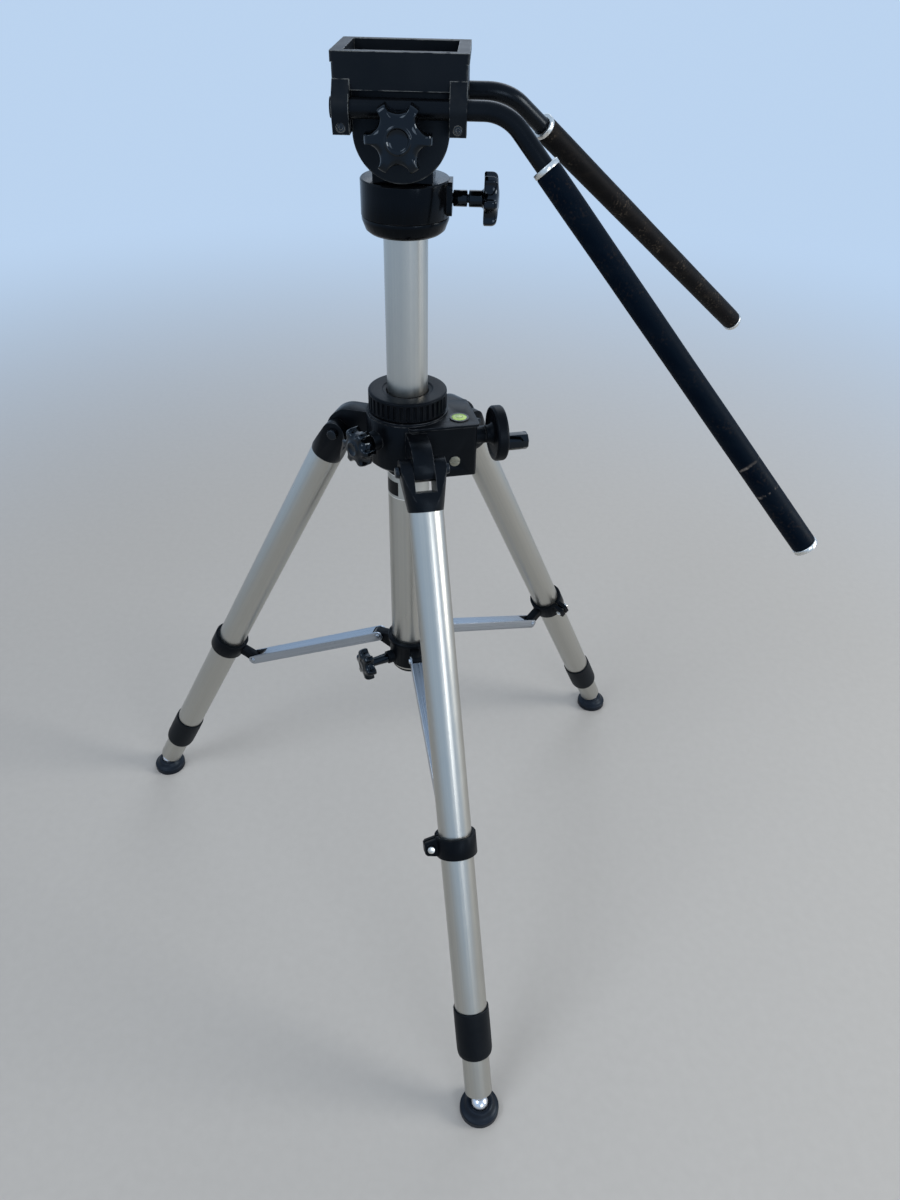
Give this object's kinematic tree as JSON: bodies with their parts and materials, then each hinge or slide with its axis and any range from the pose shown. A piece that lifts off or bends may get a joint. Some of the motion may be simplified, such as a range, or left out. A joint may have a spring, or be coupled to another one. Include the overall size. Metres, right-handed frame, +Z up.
{
  "type": "camera tripod with fluid head",
  "caption": "Aluminium tripod with folding braced legs, a crank-raised centre column and a fluid head with a boxy camera platform and two pan handles.",
  "frame": {"origin": "the point on the floor below the centre column's axis", "axes": "+Z up along the column, +X from the camera platform towards the pan handles, +Y away from the near handle"},
  "size_m": [0.7268, 0.6441, 0.895],
  "materials": {
    "bolt_black": "blackened",
    "brace_mill": "mill finish",
    "bright_steel": "bright",
    "bush_nylon": "matte",
    "casting_black": "semi-matte",
    "collar_black": "semi-matte",
    "drum_black": "gloss",
    "ferrule_silver": "satin",
    "grip_foam": "matte",
    "handle_black": "semi-gloss",
    "knob_black": "gloss",
    "pad_rubber": "matte",
    "platform_black": "matte",
    "sleeve_black": "matte",
    "stud_steel": "polished",
    "tube_satin": "satin anodised",
    "vial_green": "clear"
  },
  "bodies": {
    "base": {"shoulder": "casting_black", "leg_hinge_bolts": "bolt_black", "column_bush": "bush_nylon", "level_ring": "bolt_black", "level_vial": "vial_green", "housing_plug": "bright_steel", "guide_tube": "tube_satin", "guide_tube_cap": "collar_black"},
    "ring": {"lock_ring": "collar_black"},
    "pinion": {"rack_pinion": "bright_steel"},
    "crank": {"crank_shaft": "bright_steel", "crank_wheel": "collar_black"},
    "crank_handle": {"crank_grip": "collar_black"},
    "column_knob": {"column_lock_knob": "knob_black"},
    "hub": {"hub_collar": "collar_black"},
    "hub_knob": {"hub_lock_knob": "knob_black"},
    "column": {"centre_column": "tube_satin", "column_rack": "bolt_black", "head_base": "drum_black"},
    "pan": {"pan_drum": "drum_black", "tilt_yoke": "drum_black", "tilt_shaft": "bolt_black"},
    "pan_knob": {"pan_lock_knob": "knob_black"},
    "tilt": {"tilt_cheeks": "platform_black", "camera_platform": "platform_black", "clamp_screws": "bolt_black"},
    "tilt_knob": {"tilt_lock_knob": "knob_black"},
    "near_handle": {"near_handle_tube": "handle_black", "near_grip": "grip_foam", "near_grip_trim": "ferrule_silver"},
    "far_handle": {"far_handle_tube": "handle_black", "far_grip": "grip_foam", "far_grip_trim": "ferrule_silver"},
    "leg_1": {"leg_1_fork": "casting_black", "leg_1_upper_tube": "tube_satin", "leg_1_brace_collar": "collar_black", "leg_1_collar_screw": "bright_steel"},
    "sleeve_1": {"leg_1_twist_sleeve": "sleeve_black"},
    "leg_end_1": {"leg_1_lower_tube": "tube_satin", "leg_1_foot_stud": "stud_steel"},
    "pad_1": {"leg_1_foot_pad": "pad_rubber"},
    "brace_1": {"leg_1_brace": "brace_mill"},
    "leg_2": {"leg_2_fork": "casting_black", "leg_2_upper_tube": "tube_satin", "leg_2_brace_collar": "collar_black", "leg_2_collar_screw": "bright_steel"},
    "sleeve_2": {"leg_2_twist_sleeve": "sleeve_black"},
    "leg_end_2": {"leg_2_lower_tube": "tube_satin", "leg_2_foot_stud": "stud_steel"},
    "pad_2": {"leg_2_foot_pad": "pad_rubber"},
    "brace_2": {"leg_2_brace": "brace_mill"},
    "leg_3": {"leg_3_fork": "casting_black", "leg_3_upper_tube": "tube_satin", "leg_3_brace_collar": "collar_black", "leg_3_collar_screw": "bright_steel"},
    "sleeve_3": {"leg_3_twist_sleeve": "sleeve_black"},
    "leg_end_3": {"leg_3_lower_tube": "tube_satin", "leg_3_foot_stud": "stud_steel"},
    "pad_3": {"leg_3_foot_pad": "pad_rubber"},
    "brace_3": {"leg_3_brace": "brace_mill"}
  },
  "joints": [
    {"name": "leg_1_fold", "type": "hinge", "parent": "base", "child": "leg_1", "pos_m": [0.01714, -0.0658, 0.578], "axis": [0.9677, 0.2521, 0], "range_deg": [0, 24]},
    {"name": "leg_1_sleeve_turn", "type": "hinge", "parent": "leg_1", "child": "sleeve_1", "pos_m": [0.08157, -0.31317, 0.08763], "axis": [0.1165, -0.4473, -0.8868], "range_deg": [0, 90]},
    {"name": "leg_1_extend", "type": "slide", "parent": "leg_1", "child": "leg_end_1", "axis": [0.1165, -0.4473, -0.8868], "range_m": [0, 0.36]},
    {"name": "leg_1_pad_swivel", "type": "hinge", "parent": "leg_end_1", "child": "pad_1", "pos_m": [0.09125, -0.35031, 0.014], "axis": [0.9677, 0.2521, 0], "range_deg": [-25, 14]},
    {"name": "brace_1_turn", "type": "hinge", "parent": "hub", "child": "brace_1", "pos_m": [0.0092, -0.03532, 0.32753], "axis": [0.9677, 0.2521, 0], "range_deg": [0, 58.6]},
    {"name": "leg_2_fold", "type": "hinge", "parent": "base", "child": "leg_2", "pos_m": [0.04842, 0.04775, 0.578], "axis": [-0.7022, 0.712, 0], "range_deg": [0, 24]},
    {"name": "leg_2_sleeve_turn", "type": "hinge", "parent": "leg_2", "child": "sleeve_2", "pos_m": [0.23043, 0.22723, 0.08763], "axis": [0.3291, 0.3246, -0.8868], "range_deg": [0, 90]},
    {"name": "leg_2_extend", "type": "slide", "parent": "leg_2", "child": "leg_end_2", "axis": [0.3291, 0.3246, -0.8868], "range_m": [0, 0.36]},
    {"name": "leg_2_pad_swivel", "type": "hinge", "parent": "leg_end_2", "child": "pad_2", "pos_m": [0.25775, 0.25418, 0.014], "axis": [-0.7022, 0.712, 0], "range_deg": [-25, 14]},
    {"name": "brace_2_turn", "type": "hinge", "parent": "hub", "child": "brace_2", "pos_m": [0.02599, 0.02563, 0.32753], "axis": [-0.7022, 0.712, 0], "range_deg": [0, 58.6]},
    {"name": "leg_3_fold", "type": "hinge", "parent": "base", "child": "leg_3", "pos_m": [-0.06556, 0.01806, 0.578], "axis": [-0.2656, -0.9641, 0], "range_deg": [0, 24]},
    {"name": "leg_3_sleeve_turn", "type": "hinge", "parent": "leg_3", "child": "sleeve_3", "pos_m": [-0.312, 0.08594, 0.08763], "axis": [-0.4456, 0.1228, -0.8868], "range_deg": [0, 90]},
    {"name": "leg_3_extend", "type": "slide", "parent": "leg_3", "child": "leg_end_3", "axis": [-0.4456, 0.1228, -0.8868], "range_m": [0, 0.36]},
    {"name": "leg_3_pad_swivel", "type": "hinge", "parent": "leg_end_3", "child": "pad_3", "pos_m": [-0.349, 0.09613, 0.014], "axis": [-0.2656, -0.9641, 0], "range_deg": [-25, 14]},
    {"name": "brace_3_turn", "type": "hinge", "parent": "hub", "child": "brace_3", "pos_m": [-0.03519, 0.00969, 0.32753], "axis": [-0.2656, -0.9641, 0], "range_deg": [0, 58.6]},
    {"name": "hub_slide", "type": "slide", "parent": "base", "child": "hub", "axis": [0, 0, 1], "range_m": [0, 0.076]},
    {"name": "hub_knob_turn", "type": "hinge", "parent": "hub", "child": "hub_knob", "pos_m": [-0.04244, -0.0245, 0.31203], "axis": [-0.866, -0.5, 0], "range_deg": [0, 360]},
    {"name": "ring_turn", "type": "hinge", "parent": "base", "child": "ring", "pos_m": [0, 0, 0.616], "axis": [0, 0, 1], "range_deg": [0, 60]},
    {"name": "column_slide", "type": "slide", "parent": "base", "child": "column", "axis": [0, 0, 1], "range_m": [-0.135, 0.1]},
    {"name": "pinion_turn", "type": "hinge", "parent": "base", "child": "pinion", "pos_m": [-0.02334, 0.00163, 0.5845], "axis": [-0.0698, -0.9976, 0], "continuous": true},
    {"name": "crank_turn", "type": "hinge", "parent": "base", "child": "crank", "pos_m": [0.07845, -0.00364, 0.5845], "axis": [0.9677, 0.2521, 0], "continuous": true},
    {"name": "crank_grip_turn", "type": "hinge", "parent": "crank", "child": "crank_handle", "pos_m": [0.10071, 0.00216, 0.5745], "axis": [0.9677, 0.2521, 0], "continuous": true},
    {"name": "column_knob_turn", "type": "hinge", "parent": "base", "child": "column_knob", "pos_m": [-0.03709, -0.03645, 0.586], "axis": [-0.7133, -0.7009, 0], "range_deg": [0, 360]},
    {"name": "pan_turn", "type": "hinge", "parent": "column", "child": "pan", "pos_m": [0, 0, 0.79], "axis": [0, 0, 1], "continuous": true},
    {"name": "pan_knob_turn", "type": "hinge", "parent": "pan", "child": "pan_knob", "pos_m": [0.063, 0, 0.79], "axis": [1, 0, 0], "range_deg": [0, 360]},
    {"name": "tilt_turn", "type": "hinge", "parent": "pan", "child": "tilt", "pos_m": [0, 0, 0.8435], "axis": [0, 1, 0], "range_deg": [-50, 15]},
    {"name": "tilt_knob_turn", "type": "hinge", "parent": "pan", "child": "tilt_knob", "pos_m": [0, -0.0528, 0.8435], "axis": [0, -1, 0], "range_deg": [0, 360]},
    {"name": "near_handle_turn", "type": "hinge", "parent": "tilt", "child": "near_handle", "pos_m": [0.042, -0.044, 0.86], "axis": [1, 0, 0], "range_deg": [-120, 14]},
    {"name": "far_handle_turn", "type": "hinge", "parent": "tilt", "child": "far_handle", "pos_m": [0.042, 0.044, 0.86], "axis": [1, 0, 0], "range_deg": [-38, 100]}
  ],
  "couplings": [
    {"joint": "brace_1_turn", "follows": "leg_1_fold", "ratio": 2.435},
    {"joint": "leg_2_fold", "follows": "leg_1_fold", "ratio": 1},
    {"joint": "brace_2_turn", "follows": "leg_1_fold", "ratio": 2.435},
    {"joint": "leg_3_fold", "follows": "leg_1_fold", "ratio": 1},
    {"joint": "brace_3_turn", "follows": "leg_1_fold", "ratio": 2.435},
    {"joint": "hub_slide", "follows": "leg_1_fold", "m_per_rad": 0.181},
    {"joint": "pinion_turn", "follows": "column_slide", "rad_per_m": 166.67},
    {"joint": "crank_turn", "follows": "column_slide", "rad_per_m": 166.67}
  ]
}
